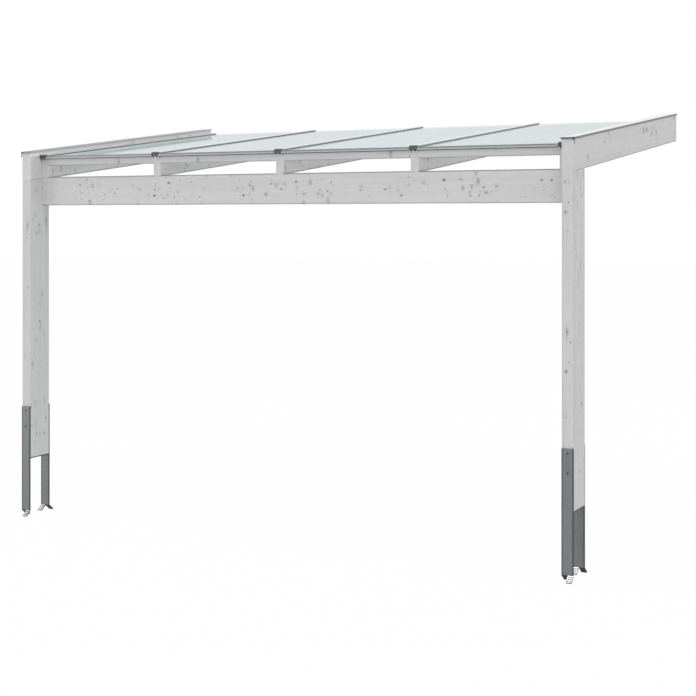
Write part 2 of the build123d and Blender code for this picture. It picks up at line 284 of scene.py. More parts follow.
class Finish:
    """A node tree being filled, for a material or the world."""

    def __init__(self, tree):
        self.tree = tree
        self.tree.nodes.clear()

    def node(self, kind, settings=None, sockets=None):
        """Adds a node, sets its settings, then its sockets' values and links."""
        made = self.tree.nodes.new(kind)
        for name, value in (settings or {}).items():
            setattr(made, name, value)
        for name, value in (sockets or {}).items():
            if isinstance(value, Signal):
                value = value.socket
            if isinstance(value, bpy.types.NodeSocket):
                self.tree.links.new(value, made.inputs[name])
            else:
                made.inputs[name].default_value = value
        return made

    def maths(self, operation, *values):
        """A Math node on numbers."""
        made = self.node("ShaderNodeMath", {"operation": operation}, dict(enumerate(values)))
        return Signal(self, made.outputs[0])

    def vector(self, operation, *values):
        """A Vector Math node."""
        made = self.node("ShaderNodeVectorMath", {"operation": operation}, dict(enumerate(values)))
        return made.outputs[0]

    def point(self, x, y, z):
        """A vector from three numbers."""
        return self.node("ShaderNodeCombineXYZ", {}, {0: x, 1: y, 2: z}).outputs[0]

    def place(self):
        """Where on the object the surface is, in metres along the three axes."""
        here = self.node("ShaderNodeTexCoord").outputs["Object"]
        apart = self.node("ShaderNodeSeparateXYZ", {}, {0: here})
        return [Signal(self, socket) for socket in apart.outputs]

    def noise(self, point, scale=1.0, detail=2.0, roughness=0.5):
        """Soft noise from 0 to 1."""
        sockets = {"Vector": point, "Scale": scale, "Detail": detail, "Roughness": roughness}
        return Signal(self, self.node("ShaderNodeTexNoise", {}, sockets).outputs[0])

    def step(self, value, start, end):
        """0 at start and 1 at end, with a soft rise between."""
        settings = {"interpolation_type": "SMOOTHSTEP"}
        sockets = {"Value": value, "From Min": start, "From Max": end}
        return Signal(self, self.node("ShaderNodeMapRange", settings, sockets).outputs[0])

    def mix(self, factor, first, second, blend="MIX"):
        """A mix of two colours."""
        first = (*first, 1.0) if isinstance(first, (tuple, list)) else first
        second = (*second, 1.0) if isinstance(second, (tuple, list)) else second
        settings = {"data_type": "RGBA", "blend_type": blend}
        return self.node("ShaderNodeMix", settings, {0: factor, 6: first, 7: second}).outputs[2]

    def grey(self, value):
        """A number as a colour."""
        return self.node("ShaderNodeCombineColor", {}, {0: value, 1: value, 2: value}).outputs[0]

    def bump(self, height, strength, distance):
        """A normal from a height."""
        sockets = {"Strength": strength, "Distance": distance, "Height": height}
        return self.node("ShaderNodeBump", {}, sockets).outputs[0]

    def facing(self):
        """Which way the surface faces, along the three axes."""
        normal = self.node("ShaderNodeNewGeometry").outputs["Normal"]
        apart = self.node("ShaderNodeSeparateXYZ", {}, {0: normal})
        return [Signal(self, socket) for socket in apart.outputs]

    def surface(self, sockets):
        """The main shader, joined to the output."""
        shader = self.node("ShaderNodeBsdfPrincipled", {}, sockets)
        self.node("ShaderNodeOutputMaterial", {}, {"Surface": shader.outputs[0]})


def new_finish(name):
    """An empty material and its finish."""
    material = bpy.data.materials.new(name)
    material.use_nodes = True
    return material, Finish(material.node_tree)


# Timber

# How the pattern of knots and grain is laid out
PIECES_PER_METRE = 1.7
PIECE_SHIFT = 7.0
BOARD_SHIFT = 3.71
BROAD_FACE_SHIFT = 3.3
RIM = (0.45, 0.75)
BARE_RIMS = (0.97, 0.78)
WHORLS_PER_METRE = 3.4
WHORL_SHIFT = 0.53
KNOT_STRETCH = 0.72
KNOT_WOBBLE = 0.010
SMEAR_SQUEEZE = 0.42
SMEAR_SHIFT = (3.1, 5.3, 0.0)
GRAIN_BEND = 0.06
STREAKS_PER_METRE = (1.3, 34.0)
FIBRES_PER_METRE = (14.0, 330.0)
CLOUDS_PER_METRE = (1.1, 7.0)

# How strongly knots darken the stain
HALO_STRENGTH = 0.07
SMEAR_STRENGTH = 0.42
KNOT_STRENGTH = 0.85


def timber_axes(wood, lie, model):
    """Places along the grain, across it and through the stacked boards, with half the section's sizes."""
    x, y, z = wood.place()
    half = (high(model) - low(model)) / 2.0
    centre = middle(model)
    if lie == "level":
        return (x, y - centre.y, z - centre.z), (half.y, half.z)
    if lie == "upright":
        return (z, wood.maths("ABSOLUTE", x) - abs(centre.x), y - centre.y), (half.x, half.y)
    under = square_to_roof(low(model).y, low(model).z)
    top = square_to_roof(high(model).y, high(model).z)
    cosine = math.cos(ROOF_PITCH)
    sine = math.sin(ROOF_PITCH)
    if lie == "rafter":
        pitch = middle("rafter_2").x - middle("rafter_1").x
        across = wood.maths("WRAP", x - centre.x, pitch / 2.0, -pitch / 2.0)
    else:
        across = wood.maths("ABSOLUTE", x) - abs(centre.x)
    along = y * cosine + z * sine
    stack = z * cosine - y * sine - (top + under) / 2.0
    return (along, across, stack), (half.x, (top - under) / 2.0)


def knot_layer(wood, here, spacing, bare, radius):
    """Knots scattered through the wood. A share of the places is bare."""
    sockets = {"Vector": here, "Scale": 1.0 / spacing}
    cells = wood.node("ShaderNodeTexVoronoi", {"voronoi_dimensions": "2D"}, sockets)
    distance = Signal(wood, cells.outputs["Distance"]) * spacing
    chances = wood.node("ShaderNodeSeparateColor", {}, {0: cells.outputs["Color"]})
    present = wood.maths("GREATER_THAN", Signal(wood, chances.outputs[0]), bare)
    size = present * radius * (Signal(wood, chances.outputs[1]) * 0.65 + 0.35)
    depth = Signal(wood, chances.outputs[2]) * 0.6 + 0.4
    knot = wood.step(distance, size * 1.15 + 0.0004, size * 0.65) * depth
    halo = wood.step(distance, size * 2.6 + 0.0008, size * 0.9)
    return distance, knot, halo


def timber_finish(name, lie, model, boards, bare, edge_shade_depth, tone=1.0):
    """Spruce under a thin grey-white stain, with grain, knots and glued boards, painted shade along the
    eased edges and a painted highlight on the posts' bevels.

    The pair bare gives the shares of the places without small knots and without long ones. A rafter's sides
    get painted light, lighter and warmer than its end, and a side beam gets painted light on the inside
    above the bars.
    """
    look = bpy.context.scene.patio_timber
    material, wood = new_finish(name)
    (along, across, stack), (half_across, half_stack) = timber_axes(wood, lie, model)
    x, y, z = wood.place()
    piece = wood.maths("FLOOR", (z if lie == "level" else x) * PIECES_PER_METRE + 0.5) * PIECE_SHIFT
    board = wood.maths("FLOOR", (stack + half_stack) / boards) + piece
    chances = wood.node("ShaderNodeTexWhiteNoise", {"noise_dimensions": "1D"}, {"W": board})
    chance = Signal(wood, chances.outputs[0])
    run = along + board * BOARD_SHIFT

    # Place over the width of the face, which is a broad or a narrow one
    sideways, frontal = [
        wood.maths("GREATER_THAN", wood.maths("ABSOLUTE", way), 0.5) for way in wood.facing()[:2]
    ]
    broad = frontal if lie == "level" else sideways
    flat = across + broad * (stack - across)
    half_flat = broad * (half_stack - half_across) + half_across
    rim = wood.step(wood.maths("ABSOLUTE", flat) / half_flat, *RIM)
    if lie in ("rafter", "side_beam"):
        rim = wood.maths("MAXIMUM", rim, frontal)

    # Knots are gathered in whorls along the grain, and few are near the rims
    whorl = wood.noise(wood.point(along * WHORLS_PER_METRE + piece * WHORL_SHIFT, 0.0, 0.0), 1.0, 1.0, 0.5)
    gathered = (whorl - 0.5) * look.gathering + 1.0
    no_knot, no_smear = [
        1.0 - gathered * (rim * -max(0.0, bare_rim - bare_share) + (1.0 - bare_share))
        for bare_share, bare_rim in zip(bare, BARE_RIMS)
    ]

    # Small round knots, and long soft ones that lie across a beam and along a post
    here = wood.point(run * KNOT_STRETCH, flat + broad * BROAD_FACE_SHIFT, 0.0)
    wobble = wood.node("ShaderNodeTexNoise", {}, {"Vector": here, "Scale": 45.0, "Detail": 2.0}).outputs[1]
    bent = wood.vector("MULTIPLY_ADD", wobble, (KNOT_WOBBLE, KNOT_WOBBLE, 0.0), here)
    distance, knot, halo = knot_layer(wood, bent, look.knot_spacing, no_knot, look.knot_radius)
    squeeze = (SMEAR_SQUEEZE, 1.0, 1.0) if lie == "upright" else (1.0, SMEAR_SQUEEZE, 1.0)
    drawn_out = wood.vector("MULTIPLY_ADD", bent, squeeze, SMEAR_SHIFT)
    coarse = look.side_beam_smears if lie == "side_beam" else 1.0
    _, smear, smear_halo = knot_layer(
        wood, drawn_out, look.smear_spacing * coarse, no_smear, look.smear_radius * coarse,
    )

    # Grain that bends round the knots
    bend = wood.step(distance, GRAIN_BEND, 0.0)
    lengthways, crossways = STREAKS_PER_METRE
    grain_point = wood.point(
        run * lengthways, across * crossways + bend * 0.9, stack * crossways + bend * 0.6,
    )
    streak = wood.noise(grain_point, 1.0, 4.0, 0.62)
    lengthways, crossways = FIBRES_PER_METRE
    fibre_point = wood.point(run * lengthways, across * crossways + bend * 6.0, stack * crossways)
    fibre = wood.noise(fibre_point, 1.0, 3.0, 0.6)
    lengthways, crossways = CLOUDS_PER_METRE
    cloud = wood.noise(wood.point(run * lengthways, across * crossways, stack * crossways), 1.0, 2.0, 0.5)

    # Colour
    depth = look.streaks
    shade = 1.0 + (streak - 0.5) * (0.34 * depth) + (fibre - 0.5) * (0.12 * depth)
    # The last factor lightens or darkens a whole piece as painted light, to match how it is lit.
    shade = (shade + (cloud - 0.5) * 0.08 + (chance - 0.5) * 0.035) * tone
    # Painted shade: a darker band along each eased edge.
    edge = wood.step(wood.maths("ABSOLUTE", across), half_across - look.arris, half_across)
    edge = edge * wood.step(wood.maths("ABSOLUTE", stack), half_stack - look.arris, half_stack)
    if lie == "side_beam":
        # The painted edge shade fades along a side beam's lower edge where it sits on its post.
        post_back = high("left_post").y
        post_shade_fade = wood.step(y, post_back + 0.012, post_back + 0.004)
        edge = edge * (1.0 - post_shade_fade * wood.step(stack, 0.0, -half_stack) * look.post_shade_fade)
    # Painted highlight on the posts' bevels, which also take off the painted edge shade there.
    bevel = sideways * frontal
    shade = shade * (1.0 - edge * (1.0 - bevel) * edge_shade_depth + bevel * look.bevel_highlight)
    # Painted light: a rafter's sides are lighter than its end.
    if lie == "rafter":
        shade = shade * (look.rafter_side_light + frontal * (1.0 - look.rafter_side_light))
    # Painted light on a side beam's inside, above the bars.
    if lie == "side_beam":
        bar_top = square_to_roof(high("glazing_bar_cap_1").y, high("glazing_bar_cap_1").z)
        beam_top = square_to_roof(high(model).y, high(model).z)
        bar_line = bar_top - beam_top + half_stack
        inner_light_mask = wood.step(stack, bar_line - 0.004, bar_line)
        inner_light_mask = inner_light_mask * wood.step(across, 0.003 - half_across, 0.001 - half_across)
        shade = shade * (1.0 + inner_light_mask * look.inner_painted_light)
    stain = tuple(look.stain)
    # Painted light: a rafter's sides get a warmer tint that offsets the bluish light through the sheet.
    if lie == "rafter":
        stain = wood.mix(frontal, tuple(look.rafter_side_light_tint), stain)
    clear = wood.mix(1.0, stain, wood.grey(shade), "MULTIPLY")
    dulled = wood.mix(wood.maths("MAXIMUM", halo, smear_halo) * HALO_STRENGTH, clear, tuple(look.knot))
    smeared = wood.mix(smear * SMEAR_STRENGTH, dulled, tuple(look.knot))
    stained = wood.mix(knot * KNOT_STRENGTH, smeared, tuple(look.knot))

    # Gloss and relief
    roughness = 0.60 + (fibre - 0.5) * 0.12 - knot * 0.08
    relief = streak * 0.5 + fibre * 0.5 + knot * 0.35
    wood.surface({
        "Base Color": stained,
        "Roughness": roughness,
        "Specular IOR Level": 0.35,
        "Normal": wood.bump(relief, 0.30, 0.0006),
    })
    return material


def dress(names, material):
    """Gives CAD nodes a finish."""
    for name in names:
        mesh = NODES[name].data
        mesh.materials.clear()
        mesh.materials.append(material)


class StainTimber(bpy.types.Operator):
    """Stain the posts, beams, rafters, noggings and wall plate"""

    bl_idname = "patio_cover.stain_timber"
    bl_label = "Stain timber"

    def execute(self, context):
        glued = context.scene.patio_timber.lamella
        solid = 1.0
        # The last number of each is the depth of the painted shade along its edges.
        posts = timber_finish("stained_post", "upright", "left_post", glued, (0.84, 0.72), 0.46)
        beam = timber_finish("stained_front_beam", "level", "front_beam", glued, (0.74, 0.56), 0.62)
        rafters = timber_finish("stained_rafter", "rafter", "rafter_1", solid, (0.92, 0.72), 0.50)
        noggings = timber_finish("stained_nogging", "level", "eaves_nogging_1", solid, (0.98, 0.93), 0.42)
        plate = timber_finish("stained_wall_plate", "level", "wall_plate", solid, (0.80, 0.64), 0.30)
        dress([f"{side}_post" for side in SIDES], posts)
        dress(["front_beam"], beam)
        # Painted light: the left side beam is made lighter and the right one darker, as lit and shaded
        # copies of one stain.
        for side, tone in (("left", 1.04), ("right", 0.985)):
            name = f"stained_{side}_side_beam"
            sloping = timber_finish(name, "side_beam", "left_side_beam", glued, (0.965, 0.56), 0.80, tone)
            dress([f"{side}_side_beam"], sloping)
        dress([f"rafter_{n + 1}" for n in range(BAR_COUNT)], rafters)
        dress(["wall_plate"], plate)
        dress([f"eaves_nogging_{n + 1}" for n in range(BAY_COUNT)], noggings)
        return {"FINISHED"}


# Metal

# Where the screws and the pressed lines are on the anchor plates
ANCHOR_SCREW_DROPS = (0.030, 0.158)
PRESSED_LINE_PLACE = 0.0065

# How strongly the painted shade along the plate edges and in the pressed lines darkens the coat
PLATE_EDGE_STRENGTH = 0.85
PRESSED_LINE_STRENGTH = 0.42


def steel_pattern(metal, speckle):
    """Crystals, clouds and drawn lines of coated steel, as shade, change of roughness and relief."""
    x, y, z = metal.place()
    here = metal.point(x, y, z)
    crystals = metal.node("ShaderNodeTexVoronoi", {}, {"Vector": here, "Scale": 70.0}).outputs["Color"]
    crystal = Signal(metal, metal.node("ShaderNodeSeparateColor", {}, {0: crystals}).outputs[0])
    cloud = metal.noise(here, 9.0, 3.0, 0.6)
    drawn = metal.noise(metal.point(x * 160.0, y * 160.0, z * 3.0), 1.0, 2.0, 0.5)
    shade = 1.0 + (crystal - 0.5) * speckle + (cloud - 0.5) * 0.16 + (drawn - 0.5) * 0.10
    return shade, (crystal - 0.5) * 0.10 + (cloud - 0.5) * 0.12, drawn * 0.6 + cloud * 0.4


def steel_finish(name, chosen, metallic, roughness, speckle):
    """Dull coated steel with a faint crystal pattern and drawn lines."""
    material, metal = new_finish(name)
    shade, rough, relief = steel_pattern(metal, speckle)
    metal.surface({
        "Base Color": metal.mix(1.0, tuple(chosen), metal.grey(shade), "MULTIPLY"),
        "Metallic": metallic,
        "Roughness": roughness + rough,
        "Normal": metal.bump(relief, 0.12, 0.0006),
    })
    return material


def rolled_finish(
    name, chosen, metallic, roughness, lie, coat=0.0, sides=None, front=0.0, inner=None, inner_run=0.0,
):
    """Rolled or extruded metal with fine lines along its length.

    Its left and right sides can have another colour, of which its front takes a share, and so can what lies
    behind a given run. The callers use these for painted light and painted shade.
    """
    material, metal = new_finish(name)
    x, y, z = metal.place()
    if lie == "level":
        lines = metal.point(x * 1.5, y * 420.0, z * 420.0)
    else:
        lines = metal.point(x * 420.0, y * 1.5, z * 420.0 - y * (420.0 * math.tan(ROOF_PITCH)))
    drawn = metal.noise(lines, 1.0, 3.0, 0.6)
    cloud = metal.noise(metal.point(x, y, z), 4.0, 3.0, 0.6)
    shade = 1.0 + (drawn - 0.5) * 0.14 + (cloud - 0.5) * 0.12
    plain = tuple(chosen)
    facing = metal.facing()
    # Painted light and shade on the upright sides and, in part, the front.
    if sides:
        upright = metal.step(metal.maths("ABSOLUTE", facing[0]), 0.80, 0.94)
        if front:
            forward = metal.step(metal.maths("ABSOLUTE", facing[1]), 0.80, 0.94)
            upright = metal.maths("MAXIMUM", upright, forward * front)
        plain = metal.mix(upright, plain, tuple(sides))
    # Painted shade behind the given run.
    if inner:
        run = y * -math.cos(ROOF_PITCH) - z * math.sin(ROOF_PITCH)
        plain = metal.mix(metal.step(run, inner_run - 0.0005, inner_run + 0.0005), tuple(inner), plain)
    if coat:
        coat = metal.step(facing[2], 0.80, 0.95) * coat
    metal.surface({
        "Base Color": metal.mix(1.0, plain, metal.grey(shade), "MULTIPLY"),
        "Metallic": metallic,
        "Roughness": roughness + (drawn - 0.5) * 0.12 + (cloud - 0.5) * 0.10,
        "Coat Weight": coat,
        "Coat Roughness": 0.06,
        "Normal": metal.bump(drawn, 0.10, 0.0003),
    })
    return material


class CoatAnchors(bpy.types.Operator):
    """Give the ground anchors their grey coat, with painted shade along the plate edges and in the pressed
    lines, and a painted highlight and painted shade on the crimped ends
    """

    bl_idname = "patio_cover.coat_anchors"
    bl_label = "Coat anchors"

    def execute(self, context):
        look = context.scene.patio_metal
        material, metal = new_finish("anchor_steel_coat")
        shade, rough, relief = steel_pattern(metal, 0.14)
        x, y, z = metal.place()
        centre = middle("left_anchor")
        half = (high("left_anchor").x - low("left_anchor").x) / 2.0
        off_middle = metal.maths("ABSOLUTE", metal.maths("ABSOLUTE", x) - abs(centre.x))
        # Painted shade along the plate edges.
        edge = metal.step(off_middle, half - look.edge_line, half)

        # Two pressed lines between the screws of each plate, pressed in as relief, with painted shade in
        # the crease
        upper, lower = ANCHOR_SCREW_DROPS
        off_screws = metal.maths("ABSOLUTE", z - (high("left_anchor").z - (upper + lower) / 2.0))
        crease = metal.step(metal.maths("ABSOLUTE", off_middle - PRESSED_LINE_PLACE), 0.0022, 0.0008)
        crease = crease * metal.step(off_screws, (lower - upper) / 2.0, (lower - upper) / 2.0 - 0.004)
        shade = shade * (1.0 - edge * PLATE_EDGE_STRENGTH - crease * PRESSED_LINE_STRENGTH)
        coated = metal.mix(1.0, tuple(look.anchor), metal.grey(shade), "MULTIPLY")

        # Crimped ends, with a painted highlight on their upper faces and painted shade on their undersides
        plate_end = low("left_post").z - look.plate_below
        crimped = metal.step(z, plate_end + 0.002, plate_end - 0.004)
        bright = metal.step(metal.facing()[2], 0.38, 0.62)
        end_tone = metal.mix(bright, tuple(look.end_painted_shade), tuple(look.end_painted_highlight))
        metal.surface({
            "Base Color": metal.mix(crimped, coated, end_tone),
            "Metallic": 0.55 + crimped * (bright * 0.85 - 0.50),
            "Roughness": 0.42 + rough - crimped * (bright * 0.36 - 0.18),
            "Normal": metal.bump(relief - crease * 0.8, 0.12, 0.0006),
        })
        dress([f"{side}_anchor" for side in SIDES], material)
        return {"FINISHED"}


class FinishCappings(bpy.types.Operator):
    """Finish the folded sheet on the side beams, with painted light on the left lips and painted shade on
    the right lips and front
    """

    bl_idname = "patio_cover.finish_cappings"
    bl_label = "Finish cappings"

    def execute(self, context):
        look = context.scene.patio_metal
        # Painted light: the left capping's lips are lighter.
        lit_capping = rolled_finish(
            "left_capping_coat", look.capping, 0.1, 0.42, "sloping", sides=look.lip_painted_light,
        )
        # Painted shade: the right capping's lips are near-black, and its front takes a share of that.
        dark = rolled_finish(
            "right_capping_coat", look.capping, 0.1, 0.42, "sloping",
            coat=1.0, sides=look.lip_painted_shade, front=0.6,
        )
        dress(["left_side_capping"], lit_capping)
        dress(["right_side_capping"], dark)
        return {"FINISHED"}


class FinishBars(bpy.types.Operator):
    """Finish the glazing bars, their caps and the panels' edge profiles, with painted light on the caps'
    tops and painted shade on their sides and in the profiles' recess
    """

    bl_idname = "patio_cover.finish_bars"
    bl_label = "Finish bars"

    def execute(self, context):
        look = context.scene.patio_metal
        # Painted light on the caps' tops and painted shade on their upright sides.
        caps = rolled_finish(
            "bar_cap_aluminium", look.bar, 0.3, 0.40, "sloping", coat=0.9, sides=look.bar_side_shade,
        )
        bases = rolled_finish("bar_base_aluminium", look.base, 0.5, 0.38, "sloping")
        # Painted shade in the edge profiles' recess above the nose.
        front = low("panel_edge_profile_1")
        nose = 0.0035
        nose_back = -front.y * math.cos(ROOF_PITCH) - front.z * math.sin(ROOF_PITCH) - nose
        edges = rolled_finish(
            "edge_aluminium", look.edge, 0.15, 0.40, "level", inner=look.recess, inner_run=nose_back,
        )
        dress([f"glazing_bar_base_{n + 1}" for n in range(BAR_COUNT)], bases)
        dress([f"glazing_bar_cap_{n + 1}" for n in range(BAR_COUNT)], caps)
        dress([f"panel_edge_profile_{n + 1}" for n in range(BAY_COUNT)], edges)
        return {"FINISHED"}


# Plastic

def moulded_finish(name, chosen, roughness):
    """Matt moulded plastic or rubber with a fine grain."""
    material, plastic = new_finish(name)
    x, y, z = plastic.place()
    here = plastic.point(x, y, z)
    grain = plastic.noise(here, 900.0, 2.0, 0.5)
    cloud = plastic.noise(here, 25.0, 3.0, 0.6)
    shade = 1.0 + (grain - 0.5) * 0.12 + (cloud - 0.5) * 0.25
    plastic.surface({
        "Base Color": plastic.mix(1.0, tuple(chosen), plastic.grey(shade), "MULTIPLY"),
        "Roughness": roughness + (cloud - 0.5) * 0.15,
        "Normal": plastic.bump(grain, 0.15, 0.0002),
    })
    return material


class FitPlastics(bpy.types.Operator):
    """Finish the end caps and the filler strips"""

    bl_idname = "patio_cover.fit_plastics"
    bl_label = "Finish end caps and fillers"

    def execute(self, context):
        look = context.scene.patio_roof
        caps = moulded_finish("end_cap_moulding", look.end_cap, 0.5)
        fillers = moulded_finish("filler_plastic", look.filler, 0.6)
        dress([f"bar_end_cap_{n + 1}" for n in range(BAR_COUNT)], caps)
        dress([f"{side}_edge_filler" for side in SIDES], fillers)
        return {"FINISHED"}


class GlazeRoof(bpy.types.Operator):
    """Finish the multiwall roof panels"""

    bl_idname = "patio_cover.glaze_roof"
    bl_label = "Glaze roof"

    def execute(self, context):
        look = context.scene.patio_roof
        material, sheet = new_finish("roof_sheet_milky")
        x, y, z = sheet.place()
        here = sheet.point(x, y, z)

        # The front is cut square to the slope, so the box's low corner is a little above the underside
        top = square_to_roof(high("roof_panel_1").y, high("roof_panel_1").z)
        corner = square_to_roof(low("roof_panel_1").y, low("roof_panel_1").z)
        half_thickness = (top - corner) / math.cos(ROOF_PITCH) ** 2 / 2.0

        # The two outer faces hide more of what is behind them than the chamber walls do
        above_core = z * math.cos(ROOF_PITCH) - y * math.sin(ROOF_PITCH) - (top - half_thickness)
        off_core = sheet.maths("ABSOLUTE", above_core)
        outside = sheet.step(off_core, half_thickness - 0.0004, half_thickness - 0.0002)
        cloud = sheet.noise(here, 1.3, 3.0, 0.55)
        drawn = sheet.noise(sheet.point(x * 260.0, y * 0.8, 0.0), 1.0, 2.0, 0.5)
        dust = sheet.noise(here, 120.0, 3.0, 0.6)
        specks = sheet.step(dust, 0.62, 0.75)
        shade = 1.0 + (cloud - 0.5) * 0.06 + (drawn - 0.5) * 0.03 - specks * 0.03
        sheet.surface({
            "Base Color": sheet.mix(1.0, tuple(look.sheet), sheet.grey(shade), "MULTIPLY"),
            "Roughness": 0.45 + (dust - 0.5) * 0.12 + (cloud - 0.5) * 0.08,
            "Alpha": look.rib_cover + outside * (look.cover - look.rib_cover + (drawn - 0.5) * 0.03),
            "Specular IOR Level": 0.0,
            "Coat Weight": look.gloss + (cloud - 0.5) * 0.12 - specks * 0.04,
            "Coat Roughness": 0.04,
        })
        dress([f"roof_panel_{n + 1}" for n in range(BAY_COUNT)], material)
        return {"FINISHED"}


# Small fixings

def turn(mesh, place, outline, segments, twist=0.0):
    """Turns an outline of radii and heights round the place's own Z."""
    rings = []
    for radius, height in outline:
        if radius == 0.0:
            rings.append([mesh.verts.new(place @ Vector((0.0, 0.0, height)))])
            continue
        ring = []
        for n in range(segments):
            angle = 2.0 * math.pi * n / segments + twist
            corner = Vector((radius * math.cos(angle), radius * math.sin(angle), height))
            ring.append(mesh.verts.new(place @ corner))
        rings.append(ring)
    for lower, upper in zip(rings, rings[1:]):
        for n in range(segments):
            corners = [lower[n % len(lower)], lower[(n + 1) % len(lower)]]
            corners += [upper[(n + 1) % len(upper)], upper[n % len(upper)]]
            corners = list(dict.fromkeys(corners))
            if len(corners) > 2:
                mesh.faces.new(corners)


def hexagon_head(mesh, place, width, height, twist):
    """A hexagon head with its corners turned off and a slightly domed top."""
    radius = width / 2.0
    dome = height * 1.02
    side = [(radius, 0.0), (radius, height * 0.86), (radius * 0.86, height)]
    turn(mesh, place, [*side, (radius * 0.5, dome), (0.0, dome)], 6, twist)


def washer(mesh, place, width, thickness, hole):
    """A flat washer with softened rims."""
    radius = width / 2.0
    soft = thickness * 0.25
    outline = [(radius, 0.0), (radius, thickness - soft), (radius - soft, thickness)]
    outline += [(hole / 2.0 + soft, thickness), (hole / 2.0, thickness - soft), (hole / 2.0, 0.0)]
    turn(mesh, place, outline, 32)


def facing_place(corner, angle):
    """A place whose Z points to the front at 90 degrees and to the wall at -90."""
    return Matrix.Translation(corner) @ Matrix.Rotation(math.radians(angle), 4, "X")


def finish_piece(name, mesh, material):
    """Makes a piece of the mesh, with sharp edges kept, that goes with the frame."""
    bmesh.ops.recalc_face_normals(mesh, faces=mesh.faces)
    data = bpy.data.meshes.new(name)
    mesh.to_mesh(data)
    mesh.free()
    data.shade_smooth()
    data.set_sharp_from_angle(angle=math.radians(35.0))
    data.materials.append(material)
    piece = bpy.data.objects.new(name, data)
    bpy.context.scene.collection.objects.link(piece)
    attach(piece, "root")
    return piece


class FitAnchorScrews(bpy.types.Operator):
    """Put hexagon screws and washers in the anchor plates"""

    bl_idname = "patio_cover.fit_anchor_screws"
    bl_label = "Fit anchor screws"

    def execute(self, context):
        sizes = context.scene.patio_fixings
        steel = steel_finish("anchor_screw_steel", context.scene.patio_metal.dark_screw, 0.6, 0.45, 0.05)
        plate = 0.008
        washer_thickness = 0.0016
        hole = 0.0080
        head_seat = 0.0012
        head_height = 0.0050
        for side in SIDES:
            box_low, box_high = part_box(f"{side}_post")
            top = high(f"{side}_anchor").z
            x = middle(f"{side}_anchor").x
            mesh = bmesh.new()
            for step, drop in enumerate(ANCHOR_SCREW_DROPS):
                for face_y, angle in ((box_low.y - plate, 90.0), (box_high.y + plate, -90.0)):
                    place = facing_place((x, face_y, top - drop), angle)
                    twist = 0.4 + 0.7 * step + 0.3 * (angle > 0.0)
                    washer(mesh, place, sizes.anchor_washer, washer_thickness, hole)
                    seat = place @ Matrix.Translation((0.0, 0.0, head_seat))
                    hexagon_head(mesh, seat, sizes.anchor_head, head_height, twist)
            finish_piece(f"{side}_anchor_screws", mesh, steel)
        return {"FINISHED"}


class FitWallNuts(bpy.types.Operator):
    """Put washers, nuts and bolt ends on the wall plate"""

    bl_idname = "patio_cover.fit_wall_nuts"
    bl_label = "Fit wall nuts"

    def execute(self, context):
        sizes = context.scene.patio_fixings
        zinc = steel_finish("nut_zinc", context.scene.patio_metal.screw, 0.8, 0.36, 0.05)
        face_y = low("wall_plate").y
        washer_thickness = 0.003
        hole = 0.013
        nut_seat = 0.0026
        nut_height = 0.0098
        bolt = 0.006
        reach = 0.0197
        bolt_end = [(bolt, nut_height), (bolt, reach - 0.0012), (bolt - 0.0012, reach), (0.0, reach)]
        mesh = bmesh.new()
        for mount in frame["record"]["mounts"]:
            if mount["kind"] != "bolt_pattern":
                continue
            half = mount["dims"]["spacing_x_mm"] / 2000.0
            for x in (-half, half):
                place = facing_place((x, face_y, mount["pos_m"][2]), 90.0)
                washer(mesh, place, sizes.wall_washer, washer_thickness, hole)
                seat = place @ Matrix.Translation((0.0, 0.0, nut_seat))
                hexagon_head(mesh, seat, sizes.wall_nut, nut_height, 0.5 + x)
                turn(mesh, seat, bolt_end, 24)
        finish_piece("wall_plate_nuts", mesh, zinc)
        return {"FINISHED"}


def lay_strip(mesh, section, ends):
    """A straight strip between two ends. Its outline is given as a function of the place along it."""
    rings = [[mesh.verts.new(corner) for corner in section(end)] for end in ends]
    count = len(rings[0])
    for a in range(count):
        b = (a + 1) % count
        mesh.faces.new((rings[0][a], rings[0][b], rings[1][b], rings[1][a]))
    for ring in rings:
        mesh.faces.new(ring)


class ClipCappings(bpy.types.Operator):
    """Clip a dark tab over the outer front corner of each capping, whose near-black colour stands in for
    the shade at the lips' front edges
    """

    bl_idname = "patio_cover.clip_cappings"
    bl_label = "Clip cappings"

    def execute(self, context):
        sizes = context.scene.patio_fixings
        # The tab's near-black colour is painted shade.
        dark = moulded_finish("shadow_tab_moulding", context.scene.patio_roof.clip, 0.6)
        for side, way in zip(SIDES, (-1.0, 1.0)):
            box_low, box_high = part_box(f"{side}_side_capping")
            outer = box_high.x if way > 0.0 else box_low.x
            front = box_low.y
            top = box_high.z - (box_high.y - front) * math.tan(ROOF_PITCH)
            mesh = bmesh.new()

            # A front leg over the lip and a side leg below it
            for reach, near, far, head, foot in (
                (sizes.clip_front, front - sizes.clip_thickness, front, top, top - sizes.clip_short),
                (sizes.clip_thickness, front, front + sizes.clip_side, box_low.z, top - sizes.clip_long),
            ):

                def section(x):
                    """Upright outline of one leg."""
                    return (x, near, foot), (x, far, foot), (x, far, head), (x, near, head)

                lay_strip(mesh, section, (outer - way * reach, outer))
            finish_piece(f"{side}_capping_shadow_tab", mesh, dark)
        return {"FINISHED"}


